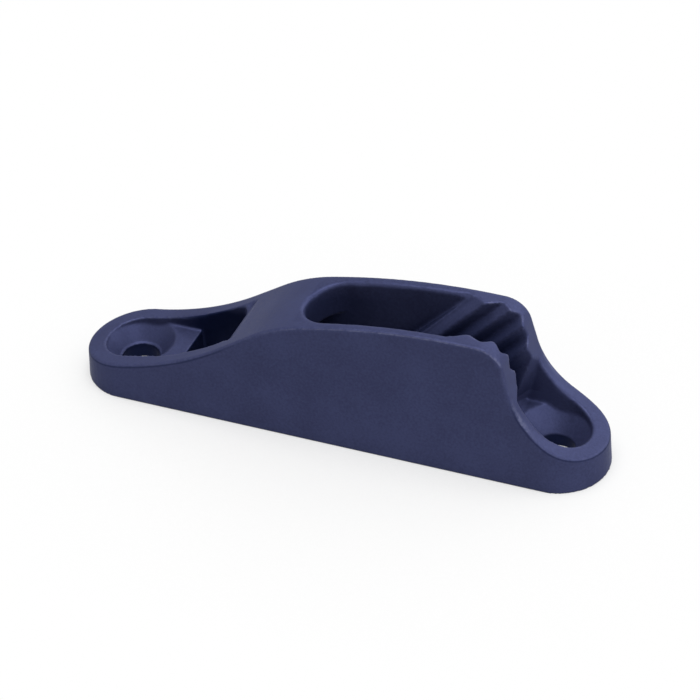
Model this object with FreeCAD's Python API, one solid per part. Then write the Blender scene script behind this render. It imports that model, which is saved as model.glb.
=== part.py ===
import FreeCAD, Part
import math
import os
from FreeCAD import Vector

# Jam cleat for small cord: one die casting.
# Millimetres. X runs along the cleat, from the fairlead end (-) to the jaw end (+).
# Y is across, Z is up. The origin is on the base, midway between the two screw holes.

# Base and sides
hole_spacing = 70.0
base_half_width = 8.35
end_reach_from_hole = 8.6
side_draft_deg = 3.4

# Side view: the line that the top of both side walls follows.
# Corners are measured in from the nearer screw hole, then rounded by their radii.
fairlead_end_height = 4.9
ramp_foot_from_hole = 9.5
ramp_foot_height = 8.1
ramp_foot_radius = 49.0
ramp_head_from_hole = 27.1
ramp_head_height = 19.75
ramp_head_radius = 29.4
crest_from_hole = 46.6
crest_height = 24.1
crest_radius = 135.0
shoulder_from_hole = 6.95
shoulder_height = 23.6
shoulder_radius = 5.5
step_foot_from_hole = 3.05
step_foot_height = 7.85
step_foot_radius = 14.4
jaw_end_height = 5.25

# Width of the fairlead mouth, the slot and both recesses
channel_half_width = 5.2

# Screw holes, and the recesses that the screw heads sit in
hole_radius = 3.0
hole_edge_height = 2.2
countersink_deg = 76.0
recess_end_from_hole = 5.4
recess_floor = 5.9

# Passage for the line under the bridge, open to the base, and the core under the jaw
shelf_end_from_hole = 8.8
core_end_from_hole = 11.0
bridge_lip_from_hole = 17.85
bridge_lip_height = 10.6
bridge_lip_radius = 1.2
bridge_nose_height = 12.6
bridge_nose_radius = 1.2
bridge_brow_from_hole = 19.3
bridge_brow_radius = 2.5
bridge_depth = 3.6

# Slot over the line
slot_start_from_hole = 30.1

# Jaw: two walls that close towards the floor, with ridges that slope down to the slot
jaw_start_from_hole = 14.6
jaw_floor = 8.5
jaw_floor_depth = 2.4
jaw_flare_deg = 10.8
ridge_slope_deg = 45.0
ridge_count = 4
ridge_pitch = 3.08
ridge_depth = 1.2
ridge_crest_radius = 0.5
ridge_root_radius = 0.4
first_ridge_offset = 2.0
jaw_mouth_from_hole = 6.4
jaw_mouth_slope_deg = 13.0
jaw_mouth_taper_deg = 66.0
jaw_ramp_top_from_hole = 9.0
jaw_ramp_foot_from_hole = 6.1

# Rounded edges
outer_edge_radius = 0.45
slot_edge_radius = 0.7
recess_edge_radius = 0.4

# Worked out from the sizes above
hole_x = hole_spacing / 2
end_x = hole_x + end_reach_from_hole
draft = math.tan(math.radians(side_draft_deg))
wall_rise = math.sin(math.radians(2 * side_draft_deg))
flare = math.tan(math.radians(jaw_flare_deg))

# Cutting shapes run past the casting, so that they cut right through it
clear = 1.0
over = 1.1 * crest_height
under = -clear


def rounded_line(corners):
    # Edges of a line in the XZ plane through corners (x, z, radius), rounded where radius > 0.
    # Two roundings that don't fit on the run between them are both limited by it.
    points = [Vector(x, 0, z) for x, z, radius in corners]
    runs = [points[i + 1] - points[i] for i in range(len(points) - 1)]
    half_turns = [0] + [runs[i].getAngle(runs[i + 1]) / 2 for i in range(len(runs) - 1)] + [0]
    cuts = [corner[2] * math.tan(half_turn) for corner, half_turn in zip(corners, half_turns)]
    edges = []
    last = points[0]
    for i in range(1, len(corners) - 1):
        back_share = runs[i - 1].Length / max(cuts[i - 1] + cuts[i], runs[i - 1].Length)
        ahead_share = runs[i].Length / max(cuts[i] + cuts[i + 1], runs[i].Length)
        cut = cuts[i] * min(back_share, ahead_share)
        start = points[i] - Vector(runs[i - 1]).normalize() * cut
        if (start - last).Length > 1e-6:
            edges.append(Part.LineSegment(last, start).toShape())
        last = start
        if cut > 0:
            finish = points[i] + Vector(runs[i]).normalize() * cut
            radius = cut / math.tan(half_turns[i])
            bisector = (start + finish) / 2 - points[i]
            depth = radius / math.cos(half_turns[i]) - radius
            middle = points[i] + bisector.normalize() * depth
            edges.append(Part.Arc(start, middle, finish).toShape())
            last = finish
    edges.append(Part.LineSegment(last, points[-1]).toShape())
    return edges


def side_prism(edges, half_width):
    # Extrudes a closed outline in the XZ plane to both sides of the middle plane.
    face = Part.Face(Part.Wire(edges))
    face.translate(Vector(0, -half_width, 0))
    return face.extrude(Vector(0, 2 * half_width, 0))


def polygon_prism(points, half_width):
    closed = [Vector(x, 0, z) for x, z in points + points[:1]]
    return side_prism(Part.makePolygon(closed).Edges, half_width)


def stadium(half_length, radius, z):
    low = Vector(-half_length, -radius, z)
    low_right = Vector(half_length, -radius, z)
    high_right = Vector(half_length, radius, z)
    high = Vector(-half_length, radius, z)
    right = Vector(half_length + radius, 0, z)
    left = Vector(-half_length - radius, 0, z)
    return Part.Wire([
        Part.LineSegment(low, low_right).toShape(),
        Part.Arc(low_right, right, high_right).toShape(),
        Part.LineSegment(high_right, high).toShape(),
        Part.Arc(high, left, low).toShape(),
    ])


def top_line():
    ramp_end_slope = (ramp_foot_height - fairlead_end_height) / (end_reach_from_hole + ramp_foot_from_hole)
    step_end_slope = (step_foot_height - jaw_end_height) / (end_reach_from_hole + step_foot_from_hole)
    return [
        (-end_x - clear, fairlead_end_height - ramp_end_slope * clear, 0),
        (-hole_x + ramp_foot_from_hole, ramp_foot_height, ramp_foot_radius),
        (-hole_x + ramp_head_from_hole, ramp_head_height, ramp_head_radius),
        (-hole_x + crest_from_hole, crest_height, crest_radius),
        (hole_x - shoulder_from_hole, shoulder_height, shoulder_radius),
        (hole_x - step_foot_from_hole, step_foot_height, step_foot_radius),
        (end_x + clear, jaw_end_height - step_end_slope * clear, 0),
    ]


def envelope():
    top_radius = base_half_width - draft * over
    centre_x = end_x - base_half_width
    foot = stadium(centre_x, base_half_width, 0)
    blank = Part.makeLoft([foot, stadium(centre_x, top_radius, over)], True)
    line = top_line()
    edges = rounded_line(line)
    first = Vector(line[0][0], 0, line[0][1])
    last = Vector(line[-1][0], 0, line[-1][1])
    below_last = Vector(last.x, 0, under)
    below_first = Vector(first.x, 0, under)
    for start, finish in ((last, below_last), (below_last, below_first), (below_first, first)):
        edges.append(Part.LineSegment(start, finish).toShape())
    return blank.common(side_prism(edges, 2 * base_half_width))


def rise_of(face):
    # Vertical part of a face's outward normal: 1 where it faces up, near 0 on a wall.
    u0, u1, v0, v1 = face.ParameterRange
    return face.normalAt((u0 + u1) / 2, (v0 + v1) / 2).z


def rim_edges(body, half_width_low, half_width_high, x_low, z_low):
    # Edges between the top surface and a wall: within a range of distances from the middle plane,
    # beyond x_low, and with their middle above z_low.
    found = []
    for edge in body.Edges:
        box = edge.BoundBox
        reach = max(abs(box.YMin), abs(box.YMax))
        if not half_width_low <= reach <= half_width_high or box.XMin < x_low or box.Center.z < z_low:
            continue
        rises = sorted(rise_of(face) for face in body.ancestorsOfType(edge, Part.Face))
        if len(rises) == 2 and abs(rises[0]) < wall_rise and rises[1] > wall_rise:
            found.append(edge)
    return found


def outer_casting():
    body = envelope()
    rim = rim_edges(body, channel_half_width, base_half_width, -end_x, 0)
    return body.makeFillet(outer_edge_radius, rim)


def jaw_line_x(z):
    # Where the slot's sloping end, which the ridges run parallel to, stands at height z.
    crest_x = hole_x - jaw_start_from_hole
    return crest_x - (crest_height - z) / math.tan(math.radians(ridge_slope_deg))


def passage():
    # Open to the base from the shelf's end to the core's end, and up through the slot.
    shelf_x = -hole_x + shelf_end_from_hole
    core_x = hole_x - core_end_from_hole
    ceiling = jaw_floor - jaw_floor_depth
    return polygon_prism([
        (shelf_x, under),
        (shelf_x, over),
        (jaw_line_x(over), over),
        (jaw_line_x(jaw_floor), jaw_floor),
        (jaw_line_x(jaw_floor), ceiling),
        (core_x, ceiling),
        (core_x, under),
    ], channel_half_width)


def ramp_height(x):
    # Height of the straight middle part of the ramp.
    run = ramp_head_from_hole - ramp_foot_from_hole
    slope = (ramp_head_height - ramp_foot_height) / run
    return ramp_foot_height + (x + hole_x - ramp_foot_from_hole) * slope


def bridge():
    # Spans both walls over the line, with a rounded nose at the fairlead mouth.
    # Behind its brow the casting's own ramp is its top.
    lip_x = -hole_x + bridge_lip_from_hole
    brow_x = -hole_x + bridge_brow_from_hole
    joint_x = brow_x + bridge_brow_radius / 2
    slot_x = -hole_x + slot_start_from_hole
    back_x = slot_x + channel_half_width
    back_z = ramp_head_height - bridge_depth
    outline = [
        (back_x, over, 0),
        (joint_x, over, 0),
        (joint_x, ramp_height(joint_x), 0),
        (brow_x, ramp_height(brow_x), bridge_brow_radius),
        (lip_x, bridge_nose_height, bridge_nose_radius),
        (lip_x, bridge_lip_height, bridge_lip_radius),
        (back_x, back_z, 0),
    ]
    edges = rounded_line(outline)
    edges.append(Part.LineSegment(Vector(back_x, 0, back_z), Vector(back_x, 0, over)).toShape())
    block = side_prism(edges, channel_half_width)
    end = Part.makeCylinder(channel_half_width, over - under, Vector(back_x, 0, under))
    return block.cut(end)


def jaw_half_width(z):
    return channel_half_width - flare * (crest_height - z)


def jaw_cut():
    # Trapezium across the jaw, pushed along X from the slot to the recess.
    low = jaw_half_width(jaw_floor)
    high = jaw_half_width(over)
    start = jaw_line_x(jaw_floor) - clear
    finish = hole_x
    corners = [Vector(start, -low, jaw_floor), Vector(start, low, jaw_floor),
               Vector(start, high, over), Vector(start, -high, over)]
    face = Part.Face(Part.makePolygon(corners + corners[:1]))
    return face.extrude(Vector(finish - start, 0, 0))


def jaw_ridges():
    # Rounded waves on both jaw walls, which run up the slope. They are drawn in the near wall's own
    # plane: across the ridges, down the slope, and inward from the wall.
    slope = math.radians(ridge_slope_deg)
    level = Vector(1, 0, 0)
    upward = Vector(0, -flare, 1).normalize()
    up_slope = level * math.cos(slope) + upward * math.sin(slope)
    across = level * math.sin(slope) - upward * math.cos(slope)
    inward = level.cross(upward) * -1
    half = ridge_pitch / 2
    first = first_ridge_offset - half
    last = first + ridge_count * ridge_pitch
    corners = [(first, -ridge_depth, 0), (first, 0, 0)]
    for number in range(ridge_count):
        crest = first_ridge_offset + number * ridge_pitch
        corners.append((crest, ridge_depth, ridge_crest_radius))
        corners.append((crest + half, 0, ridge_root_radius))
    corners[-1] = (last, 0, 0)
    corners.append((last, -ridge_depth, 0))
    edges = rounded_line(corners)
    closing = Part.LineSegment(Vector(last, 0, -ridge_depth), Vector(first, 0, -ridge_depth))
    edges.append(closing.toShape())
    near = side_prism(edges, 2 * crest_height)
    turn = FreeCAD.Rotation(across, up_slope * -1, inward, "XYZ")
    start = Vector(hole_x - jaw_start_from_hole, -channel_half_width, crest_height)
    near.Placement = FreeCAD.Placement(start, turn)
    return near.fuse(near.mirror(Vector(0, 0, 0), Vector(0, 1, 0)))


def jaw_mouth():
    # Leads out of the jaw into the recess: flares in plan, leans as the core that casts it does,
    # and its floor ramps down from the jaw to the recess.
    lean = math.tan(math.radians(jaw_mouth_slope_deg))
    taper = math.tan(math.radians(jaw_mouth_taper_deg))
    wide_x = hole_x - jaw_mouth_from_hole
    narrow_x = wide_x - channel_half_width / taper
    corners = [Vector(narrow_x, 0, recess_floor),
               Vector(wide_x, -channel_half_width, recess_floor),
               Vector(hole_x, -channel_half_width, recess_floor),
               Vector(hole_x, channel_half_width, recess_floor),
               Vector(wide_x, channel_half_width, recess_floor)]
    face = Part.Face(Part.makePolygon(corners + corners[:1]))
    height = over - recess_floor
    mouth = face.extrude(Vector(lean * height, 0, height))
    ramp_top_x = hole_x - jaw_ramp_top_from_hole
    ramp_foot_x = hole_x - jaw_ramp_foot_from_hole
    above_ramp = polygon_prism([
        (narrow_x - clear, jaw_floor),
        (ramp_top_x, jaw_floor),
        (ramp_foot_x, recess_floor),
        (hole_x, recess_floor),
        (hole_x, over),
        (narrow_x - clear, over),
    ], base_half_width)
    return mouth.common(above_ramp)


def channel_end(side):
    # The channel with its round end, from the middle of the cleat outwards, at full height.
    end_centre = side * (hole_x + recess_end_from_hole - channel_half_width)
    height = over - under
    straight = Part.makeBox(abs(end_centre), 2 * channel_half_width, height,
                            Vector(min(end_centre, 0), -channel_half_width, under))
    return straight.fuse(Part.makeCylinder(channel_half_width, height, Vector(end_centre, 0, under)))


def recess(side, start_x):
    # Pocket round the screw hole, with the hole and its countersink.
    pocket = polygon_prism([
        (start_x, recess_floor),
        (side * end_x, recess_floor),
        (side * end_x, over),
        (start_x, over),
    ], base_half_width)
    depth = recess_floor - hole_edge_height
    spread = depth * math.tan(math.radians(countersink_deg / 2))
    countersink = Part.makeCone(hole_radius, hole_radius + spread, depth,
                                Vector(side * hole_x, 0, hole_edge_height))
    hole = Part.makeCylinder(hole_radius, over - under, Vector(side * hole_x, 0, under))
    return pocket.fuse(countersink).common(channel_end(side)).fuse(hole)


def cleat_body():
    # The jaw end's recess and its rounded rim come first, then the passage and the slot's rim.
    # The jaw and the fairlead end's recess are cut last, as their own edges stay sharp.
    inner = channel_half_width + outer_edge_radius
    body = outer_casting().cut(jaw_mouth().fuse(recess(1, hole_x - jaw_ramp_foot_from_hole / 2)))
    body = body.removeSplitter()
    recess_rim = rim_edges(body, 0, inner, hole_x - jaw_mouth_from_hole, recess_floor + recess_edge_radius)
    body = body.makeFillet(recess_edge_radius, recess_rim)
    body = body.cut(passage().cut(bridge())).removeSplitter()
    slot_rim = rim_edges(body, 0, inner, -hole_x, ramp_head_height - 2 * slot_edge_radius)
    slot_rim = [edge for edge in slot_rim if edge.BoundBox.XMax < hole_x - jaw_start_from_hole]
    body = body.makeFillet(slot_edge_radius, slot_rim)
    body = body.cut(jaw_cut().cut(jaw_ridges()))
    body = body.cut(recess(-1, -hole_x + shelf_end_from_hole))
    return body.removeSplitter()


os.makedirs("parts", exist_ok=True)
body = cleat_body()
print("solids", len(body.Solids), "valid", body.isValid())
print("faces", len(body.Faces), "volume", round(body.Volume, 1), "mm3")
body.Solids[0].exportStep("parts/cleat_body.step")
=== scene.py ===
import math

import bmesh
import bpy
from mathutils import Matrix, Vector


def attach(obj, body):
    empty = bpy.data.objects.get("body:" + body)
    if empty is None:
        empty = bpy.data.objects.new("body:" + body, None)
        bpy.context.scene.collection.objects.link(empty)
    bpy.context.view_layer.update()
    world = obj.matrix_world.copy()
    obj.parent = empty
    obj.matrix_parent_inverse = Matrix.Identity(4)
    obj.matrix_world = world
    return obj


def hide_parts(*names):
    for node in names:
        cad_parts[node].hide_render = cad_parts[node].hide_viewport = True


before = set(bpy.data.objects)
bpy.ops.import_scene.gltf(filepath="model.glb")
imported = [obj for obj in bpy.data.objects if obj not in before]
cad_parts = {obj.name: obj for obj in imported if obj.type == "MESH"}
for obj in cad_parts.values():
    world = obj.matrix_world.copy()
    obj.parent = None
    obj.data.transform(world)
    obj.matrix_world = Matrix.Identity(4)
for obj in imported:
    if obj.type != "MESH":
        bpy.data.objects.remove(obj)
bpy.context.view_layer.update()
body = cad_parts["cleat_body"]

MM = 0.001

# Camera in the body frame, fitted to the photograph's outline and screw holes
CAMERA_PLACE = Vector((114.247, -259.485, 231.772)) * MM
CAMERA_RIGHT = Vector((0.92914, 0.36735, -0.04197))
CAMERA_UP = Vector((-0.19455, 0.58226, 0.78938))
SENSOR_MM = 36.0
FOCAL_MM = 119.48
NEAREST_SEEN = 0.01

# Bridge of the casting, in mm in the body frame: its lip, its rounded nose and the ramp above
LIP_X = -17.15
LIP_HEIGHT = 10.6
NOSE_HEIGHT = 12.6
RAMP_SLOPE = 0.662
RAMP_HEIGHT_AT_LIP = 13.6
CHANNEL_HALF_WIDTH = 5.2

# Webs that round the mouth's corners, in mm. They reach into the metal by the sink, and the drops
# keep them just below the surfaces that they meet.
WEB_RADIUS = 2.0
WEB_STEPS = 8
WEB_SINK = 0.8
WEB_DROP = 0.15
BURIED_DROP = 0.1
NOSE_DROP = 0.2

# Screw holes, and the collar that raises the fairlead end's hole edge, in mm
HOLE_X = 35.0
HOLE_RADIUS = 3.0
COLLAR_FOOT = 0.2
COLLAR_HEIGHT = 2.6
COLLAR_RADIUS = 3.4
COLLAR_SIDES = 64

# Cast edges are a little round: the mesh is divided finely, smoothed and thinned out
CELL = 0.2 * MM
SMOOTHING = 0.5
SMOOTHING_STEPS = 3
KEPT_SHARE = 0.42

# The holes' edges stay sharp: no smoothing below this height within this width and length, in mm
SHARP_HEIGHT = COLLAR_HEIGHT + 0.3
SHARP_HALF_WIDTH = 4.5
SHARP_HALF_LENGTH = 39.0

# The rim's inner edge round the screw recesses is rounder, in mm
RECESS_STEPS = 16
FAIRLEAD_RIM_START = 25.0
JAW_RIM_START = 33.0
RECESS_RIM_LOWEST = 7.6
RECESS_RIM_REACH = 6.5

# Boxes in which shade is painted into the colour, in mm: lowest and highest corner, with y as the
# distance from
#  the middle, then how far the box fades out above its top, before its start and past its end
CRISP = 0.05
LINE_PASSAGE = ((-26.3, 0.0, -1.0), (24.1, 5.4, 8.5), 3.0, 0.1)
MOUTH_WALLS = ((-26.3, 4.9, 6.2), (-16.0, 5.4, 10.5), 2.5, 7.0)
FAIRLEAD_HOLE = ((-HOLE_X - 3.2, 0.0, 0.1), (-HOLE_X + 3.2, 3.2, 2.4), 0.3, 0.1)
JAW_HOLE = ((HOLE_X - 3.2, 0.0, 0.1), (HOLE_X + 3.2, 3.2, 2.0), 0.3, 0.1)
SLOT_END = ((-5.0, 0.0, 8.0), (0.0, 5.3, 18.5), 2.5, 0.3, 10.0)
# How much painted shade the slot's rounded end gets
SLOT_END_SHADE = 0.55
JAW = ((-7.0, 0.0, 8.0), (27.5, 5.4, 21.0), 3.0, 2.0, 6.0)
JAW_SHADE = 0.5

# Hard-anodised finish: tones in sRGB, and noises as scale, detail and roughness
METALLIC = 0.3
GLOSS_LEVEL = 0.05
GLANCING_TONE = (170, 174, 190)
DARK_TONE = (56, 60, 91)
LIGHT_TONE = (63, 68, 102)
# Colour of worn edges, and of the painted highlight along the high rims' outer edge
WORN_AND_HIGHLIGHT_TONE = (128, 132, 160)
# Colour of the painted shade in recesses, holes and the passage, and below the low rims' outer edge
PAINTED_SHADE_TONE = (22, 29, 58)
CLOUD = (110.0, 3.0, 0.5)
GRAIN = (2600.0, 2.0, 0.5)
FLECK = (1400.0, 3.0, 0.6)
BUMP_STRENGTH = 0.35
BUMP_DEPTH = 0.04 * MM
EDGE_REACH = 0.5 * MM
CAVITY_REACH = 8 * MM
SAMPLES = 6

# Ranges of the masks: the value's low and high end, then what the mask is there (0 and 1 if left
# out). Slopes are the normal's upright part, and outward lengths are from the line of the holes.
TONE_RANGE = (0.38, 0.62)
ROUGHNESS_RANGE = (0.35, 0.65, 0.36, 0.46)
# Painted shade: how open a place is, mapped to how dark it is painted
PAINTED_SHADE_RANGE = (0.05, 0.45, 0.95, 0.0)
WORN_THICKNESS = (0.92, 0.55, 0.0, 0.4)
WORN_PATCHES = (0.38, 0.66)
# Painted shade: a dark line below the low rims' outer edge
EDGE_SHADE_SLOPES = ((0.1, 0.25), (0.35, 0.6, 1.0, 0.0))
EDGE_SHADE_OUTWARD = (7.0 * MM, 7.2 * MM)
EDGE_SHADE_HEIGHT = (12 * MM, 17 * MM, 0.6, 0.0)
# Painted highlight: a light line along the high rims' outer edge
EDGE_HIGHLIGHT_SLOPES = ((0.3, 0.5), (0.6, 0.8, 1.0, 0.0))
EDGE_HIGHLIGHT_OUTWARD = (6.4 * MM, 7.0 * MM)
EDGE_HIGHLIGHT_LENGTH = (-15 * MM, 15 * MM, 0.0, 0.32)
EDGE_HIGHLIGHT_HEIGHT = (9 * MM, 12 * MM)
EDGE_HIGHLIGHT_PATCHES = (0.3, 0.6)

# Floor, world and lamps. Each lamp is a disk: place, width and radiance.
FLOOR_SIZE = 6.0
FLOOR_COLOUR = (0.7, 0.7, 0.7, 1)
WHITE = (1, 1, 1, 1)
SHADE_REACH = 45 * MM
SHADE_SAMPLES = 8
WORLD_LIGHT = 0.03
LAMP_TARGET = Vector((0, 0, 0.01))
LAMPS = {
    "top_softbox": ((0.0, -0.1, 0.85), 0.8, 4.4),
    "back_softbox": ((0.1, 0.75, 0.4), 0.7, 1.7),
    "right_back_softbox": ((0.62, 0.42, 0.42), 0.6, 2.4),
    "right_softbox": ((0.85, -0.12, 0.3), 0.5, 3.2),
    "front_softbox": ((0.45, -0.45, 0.6), 0.6, 1.7),
}


def linear(srgb):
    return [((c / 255 + 0.055) / 1.055) ** 2.4 if c > 10.3 else c / 255 / 12.92 for c in srgb]


def new_tree(owner):
    owner.use_nodes = True
    tree = owner.node_tree
    tree.nodes.clear()
    return tree


def feed(tree, socket, value):
    # value: a plain value, or the output socket that feeds this one
    if isinstance(value, bpy.types.NodeSocket):
        tree.links.new(value, socket)
    else:
        socket.default_value = value


def make(tree, kind, inputs=None, **settings):
    node = tree.nodes.new(kind)
    for key, value in settings.items():
        setattr(node, key, value)
    for key, value in (inputs or {}).items():
        feed(tree, node.inputs[key], value)
    return node


def noise(tree, where, scale, detail, roughness):
    return make(tree, "ShaderNodeTexNoise", {"Vector": where, "Scale": scale, "Detail": detail,
                                             "Roughness": roughness}).outputs["Fac"]


def maths(tree, operation, *values):
    return make(tree, "ShaderNodeMath", dict(enumerate(values)), operation=operation).outputs[0]


def product(tree, first, *others):
    for other in others:
        first = maths(tree, "MULTIPLY", first, other)
    return first


def spread(tree, value, low, high, to_low=0.0, to_high=1.0):
    return make(tree, "ShaderNodeMapRange", {"Value": value, "From Min": low, "From Max": high,
                                             "To Min": to_low, "To Max": to_high}).outputs["Result"]


def openness(tree, reach, samples, inward=False):
    return make(tree, "ShaderNodeAmbientOcclusion", {"Distance": reach}, samples=samples,
                inside=inward).outputs["AO"]


def paint(tone):
    return (*linear(tone), 1)


def blend(tree, factor, under, over):
    # The Mix node has a set of sockets for each kind of value, told apart by identifier.
    node = make(tree, "ShaderNodeMix", data_type="RGBA")
    sockets = {socket.identifier: socket for socket in node.inputs}
    for identifier, value in (("Factor_Float", factor), ("A_Color", under), ("B_Color", over)):
        feed(tree, sockets[identifier], value)
    return next(socket for socket in node.outputs if socket.identifier == "Result_Color")


def corner_web(mesh, side):
    # Rounds the corner of the mouth, between the bridge's lip and the side wall.
    def ramp_height(x, drop):
        return RAMP_HEIGHT_AT_LIP - drop + (x - LIP_X) * RAMP_SLOPE

    wall_y = CHANNEL_HALF_WIDTH
    outline = []
    for step in range(WEB_STEPS + 1):
        angle = math.pi / 2 * step / WEB_STEPS
        x = LIP_X - WEB_RADIUS + WEB_RADIUS * math.sin(angle)
        y = wall_y - WEB_RADIUS + WEB_RADIUS * math.cos(angle)
        # Over the arc's second half, the top falls from the ramp to the nose
        fall = max(0.0, 2 * step / WEB_STEPS - 1) * (RAMP_HEIGHT_AT_LIP - NOSE_HEIGHT)
        outline.append((x, y, ramp_height(x, WEB_DROP + fall)))
    outline.append((LIP_X + WEB_SINK, wall_y - WEB_RADIUS, NOSE_HEIGHT - NOSE_DROP))
    for x, y in ((LIP_X + WEB_SINK, wall_y + WEB_SINK), (LIP_X - WEB_RADIUS, wall_y + WEB_SINK)):
        outline.append((x, y, ramp_height(x, BURIED_DROP)))

    foot_height = LIP_HEIGHT - NOSE_DROP
    top = [mesh.verts.new(Vector((x, side * y, z)) * MM) for x, y, z in outline]
    foot = [mesh.verts.new(Vector((x, side * y, foot_height)) * MM) for x, y, z in outline]
    faces = [top, foot[::-1]]
    for i in range(len(top)):
        j = (i + 1) % len(top)
        faces.append([foot[i], foot[j], top[j], top[i]])
    for face in faces:
        mesh.faces.new(face if side < 0 else face[::-1])


def collar(mesh):
    # Raises the edge of the fairlead end's screw hole a little above the jaw end's.
    rings = []
    for radius, z in ((HOLE_RADIUS, COLLAR_FOOT), (HOLE_RADIUS, COLLAR_HEIGHT),
                      (COLLAR_RADIUS, COLLAR_HEIGHT), (COLLAR_RADIUS, COLLAR_FOOT)):
        ring = []
        for i in range(COLLAR_SIDES):
            angle = math.tau * i / COLLAR_SIDES
            place = (radius * math.cos(angle) - HOLE_X, radius * math.sin(angle), z)
            ring.append(mesh.verts.new(Vector(place) * MM))
        rings.append(ring)
    for low, high in zip(rings, rings[1:] + rings[:1]):
        for i in range(COLLAR_SIDES):
            j = (i + 1) % COLLAR_SIDES
            mesh.faces.new([low[j], low[i], high[i], high[j]])


def modified(draft, kind, **settings):
    # The object's mesh as one modifier leaves it
    modifier = draft.modifiers.new(kind.lower(), kind)
    for key, value in settings.items():
        setattr(modifier, key, value)
    bpy.context.view_layer.update()
    seen = draft.evaluated_get(bpy.context.evaluated_depsgraph_get())
    shape = bpy.data.meshes.new_from_object(seen)
    draft.modifiers.clear()
    return shape


def may_soften(place):
    return (place.z > SHARP_HEIGHT or abs(place.y) > SHARP_HALF_WIDTH
            or abs(place.x) > SHARP_HALF_LENGTH)


def in_recess_rim(place):
    start = FAIRLEAD_RIM_START if place.x < 0 else JAW_RIM_START
    beyond = max(0.0, abs(place.x) - HOLE_X)
    return (abs(place.x) > start and place.z > RECESS_RIM_LOWEST
            and math.hypot(beyond, place.y) < RECESS_RIM_REACH)


def smooth(mesh, verts, steps):
    for _ in range(steps):
        bmesh.ops.smooth_vert(mesh, verts=verts, factor=SMOOTHING, use_axis_x=True,
                              use_axis_y=True, use_axis_z=True)


def cast_piece():
    # The casting with the webs, the collar and its slightly round edges
    mesh = bmesh.new()
    mesh.from_mesh(body.data)
    corner_web(mesh, 1)
    corner_web(mesh, -1)
    collar(mesh)
    data = bpy.data.meshes.new("casting")
    mesh.to_mesh(data)
    mesh.free()
    draft = bpy.data.objects.new("casting", data)
    bpy.context.collection.objects.link(draft)
    shape = modified(draft, "REMESH", mode="VOXEL", voxel_size=CELL)

    mesh = bmesh.new()
    mesh.from_mesh(shape)
    softened = [vert for vert in mesh.verts if may_soften(vert.co / MM)]
    smooth(mesh, softened, SMOOTHING_STEPS)
    smooth(mesh, [vert for vert in softened if in_recess_rim(vert.co / MM)], RECESS_STEPS)
    mesh.to_mesh(shape)
    mesh.free()
    draft.data = shape

    shape = modified(draft, "DECIMATE", ratio=KEPT_SHARE)
    shape.polygons.foreach_set("use_smooth", [True] * len(shape.polygons))
    draft.data = shape
    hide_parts("cleat_body")
    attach(draft, "root")
    return draft


def inside(tree, axes, low, high, top_fade, start_fade, end_fade=CRISP):
    # 1 in a box given in mm, fading out above its top, before its start and past its end.
    mask = spread(tree, axes[2], high[2] * MM, (high[2] + top_fade) * MM, 1.0, 0.0)
    for axis, start, finish, to_low, to_high in (
            (0, low[0] - start_fade, low[0], 0.0, 1.0),
            (0, high[0], high[0] + end_fade, 1.0, 0.0),
            (1, low[1] - CRISP, low[1], 0.0, 1.0),
            (1, high[1], high[1] + CRISP, 1.0, 0.0),
            (2, low[2] - CRISP, low[2], 0.0, 1.0)):
        step = spread(tree, axes[axis], start * MM, finish * MM, to_low, to_high)
        mask = product(tree, mask, step)
    return mask


def painted_depth_shade(tree, axes):
    # Painted shade: the deeper inside the casting a place is, the darker its colour is painted
    shade = product(tree, inside(tree, axes, *JAW), -JAW_SHADE)
    open_part = maths(tree, "ADD", shade, openness(tree, CAVITY_REACH, SAMPLES))
    painted_shade = spread(tree, open_part, *PAINTED_SHADE_RANGE)
    for box in (LINE_PASSAGE, MOUTH_WALLS, FAIRLEAD_HOLE, JAW_HOLE):
        painted_shade = maths(tree, "MAXIMUM", painted_shade, inside(tree, axes, *box))
    slot_end_shade = product(tree, inside(tree, axes, *SLOT_END), SLOT_END_SHADE)
    return maths(tree, "MAXIMUM", painted_shade, slot_end_shade)


def outward(tree, axes):
    # Distance, seen from above, from the straight line between the two holes
    length = maths(tree, "SUBTRACT", maths(tree, "ABSOLUTE", axes[0]), HOLE_X * MM)
    beyond = maths(tree, "MAXIMUM", length, 0.0)
    flat = make(tree, "ShaderNodeCombineXYZ", {"X": beyond, "Y": axes[1]}).outputs[0]
    return make(tree, "ShaderNodeVectorMath", {0: flat}, operation="LENGTH").outputs["Value"]


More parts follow.
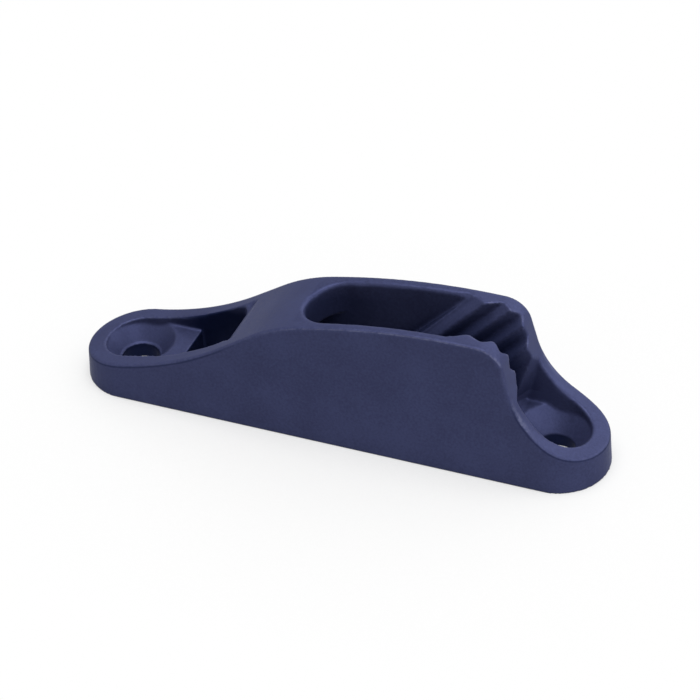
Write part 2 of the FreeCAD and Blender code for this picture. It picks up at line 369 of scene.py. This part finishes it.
def anodised():
    material = bpy.data.materials.new("hard_anodised")
    tree = new_tree(material)
    where = make(tree, "ShaderNodeTexCoord").outputs["Object"]
    cloud, grain, fleck = (noise(tree, where, *kind) for kind in (CLOUD, GRAIN, FLECK))
    parts = make(tree, "ShaderNodeSeparateXYZ", {"Vector": where}).outputs
    axes = (parts["X"], maths(tree, "ABSOLUTE", parts["Y"]), parts["Z"])
    normal = make(tree, "ShaderNodeNewGeometry").outputs["Normal"]
    upright = make(tree, "ShaderNodeSeparateXYZ", {"Vector": normal}).outputs["Z"]
    out = outward(tree, axes)

    # Outward edges are worn bright in patches
    worn = product(tree,
                   spread(tree, openness(tree, EDGE_REACH, SAMPLES, inward=True), *WORN_THICKNESS),
                   spread(tree, fleck, *WORN_PATCHES))
    # Painted shade: the low rims get a dark line just below their outer edge
    rim_edge_shade = product(tree,
                   *(spread(tree, upright, *slopes) for slopes in EDGE_SHADE_SLOPES),
                   spread(tree, out, *EDGE_SHADE_OUTWARD),
                   spread(tree, axes[2], *EDGE_SHADE_HEIGHT))
    # Painted highlight: the high rims get a light line in patches along their outer edge, stronger
    # towards the jaw end
    rim_edge_highlight = product(tree,
                  *(spread(tree, upright, *slopes) for slopes in EDGE_HIGHLIGHT_SLOPES),
                  spread(tree, out, *EDGE_HIGHLIGHT_OUTWARD),
                  spread(tree, axes[0], *EDGE_HIGHLIGHT_LENGTH),
                  spread(tree, axes[2], *EDGE_HIGHLIGHT_HEIGHT),
                  spread(tree, fleck, *EDGE_HIGHLIGHT_PATCHES))

    tone = product(tree, maths(tree, "ADD", cloud, grain), 0.5)
    tone = spread(tree, tone, *TONE_RANGE)
    colour = blend(tree, tone, paint(DARK_TONE), paint(LIGHT_TONE))
    # Over the tone: wear, painted shade inside the casting, painted shade below the low rims' edge,
    # then the painted highlight on the high rims
    for mask, over in ((worn, WORN_AND_HIGHLIGHT_TONE), (painted_depth_shade(tree, axes), PAINTED_SHADE_TONE), (rim_edge_shade, PAINTED_SHADE_TONE),
                       (rim_edge_highlight, WORN_AND_HIGHLIGHT_TONE)):
        colour = blend(tree, mask, colour, paint(over))

    bump = make(tree, "ShaderNodeBump", {"Strength": BUMP_STRENGTH, "Distance": BUMP_DEPTH,
                                         "Height": grain})
    shader = make(tree, "ShaderNodeBsdfPrincipled", {
        "Base Color": colour,
        "Metallic": METALLIC,
        "Specular IOR Level": GLOSS_LEVEL,
        "Specular Tint": paint(GLANCING_TONE),
        "Roughness": spread(tree, grain, *ROUGHNESS_RANGE),
        "Normal": bump.outputs["Normal"],
    })
    make(tree, "ShaderNodeOutputMaterial", {"Surface": shader.outputs["BSDF"]})
    return material


def seen_directly(tree):
    # 1 for the rays that show a backdrop: the camera's own, and those by way of metal or glass.
    path = make(tree, "ShaderNodeLightPath").outputs
    return maths(tree, "MAXIMUM", path["Is Camera Ray"],
                 maths(tree, "MAXIMUM", path["Is Glossy Ray"], path["Is Transmission Ray"]))


def floor_material():
    # Pale and matt, and white where it is seen, but for the shadow near the casting
    material = bpy.data.materials.new("pale_floor")
    tree = new_tree(material)
    matt = make(tree, "ShaderNodeBsdfDiffuse", {"Color": FLOOR_COLOUR})
    white = make(tree, "ShaderNodeEmission", {"Color": WHITE, "Strength": 1.0})
    factor = product(tree, seen_directly(tree), openness(tree, SHADE_REACH, SHADE_SAMPLES))
    mixed = make(tree, "ShaderNodeMixShader", {"Fac": factor, 1: matt.outputs[0],
                                               2: white.outputs[0]})
    make(tree, "ShaderNodeOutputMaterial", {"Surface": mixed.outputs[0]})
    return material


def make_floor():
    bpy.ops.mesh.primitive_plane_add(size=FLOOR_SIZE, location=(0, 0, 0))
    floor = bpy.context.object
    floor.name = "floor"
    floor.data.materials.append(floor_material())


def make_world():
    world = bpy.data.worlds.new("studio")
    tree = new_tree(world)
    light = make(tree, "ShaderNodeBackground", {"Color": WHITE, "Strength": WORLD_LIGHT})
    shown = make(tree, "ShaderNodeBackground", {"Color": WHITE, "Strength": 1.0})
    mixed = make(tree, "ShaderNodeMixShader", {"Fac": seen_directly(tree), 1: light.outputs[0],
                                               2: shown.outputs[0]})
    make(tree, "ShaderNodeOutputWorld", {"Surface": mixed.outputs[0]})
    bpy.context.scene.world = world


def softbox(name, place, width, radiance):
    data = bpy.data.lights.new(name, "AREA")
    data.shape = "DISK"
    data.size = width
    data.energy = radiance * math.pi * math.pi * width * width / 4
    lamp = bpy.data.objects.new(name, data)
    lamp.location = place
    lamp.rotation_euler = (LAMP_TARGET - Vector(place)).to_track_quat("-Z", "Y").to_euler()
    bpy.context.collection.objects.link(lamp)


def make_camera():
    data = bpy.data.cameras.new("camera")
    data.sensor_width = SENSOR_MM
    data.lens = FOCAL_MM
    data.clip_start = NEAREST_SEEN
    camera = bpy.data.objects.new("camera", data)
    back = CAMERA_RIGHT.cross(CAMERA_UP).normalized()
    axes = Matrix((CAMERA_RIGHT, CAMERA_UP, back)).transposed().to_4x4()
    camera.matrix_world = Matrix.Translation(CAMERA_PLACE) @ axes
    bpy.context.collection.objects.link(camera)
    bpy.context.scene.camera = camera


finish = anodised()
casting = cast_piece()
for mesh in (body.data, casting.data):
    mesh.materials.clear()
    mesh.materials.append(finish)
make_floor()
make_camera()
make_world()
for name, lamp in LAMPS.items():
    softbox(name, *lamp)
bpy.context.scene.view_settings.view_transform = "Standard"
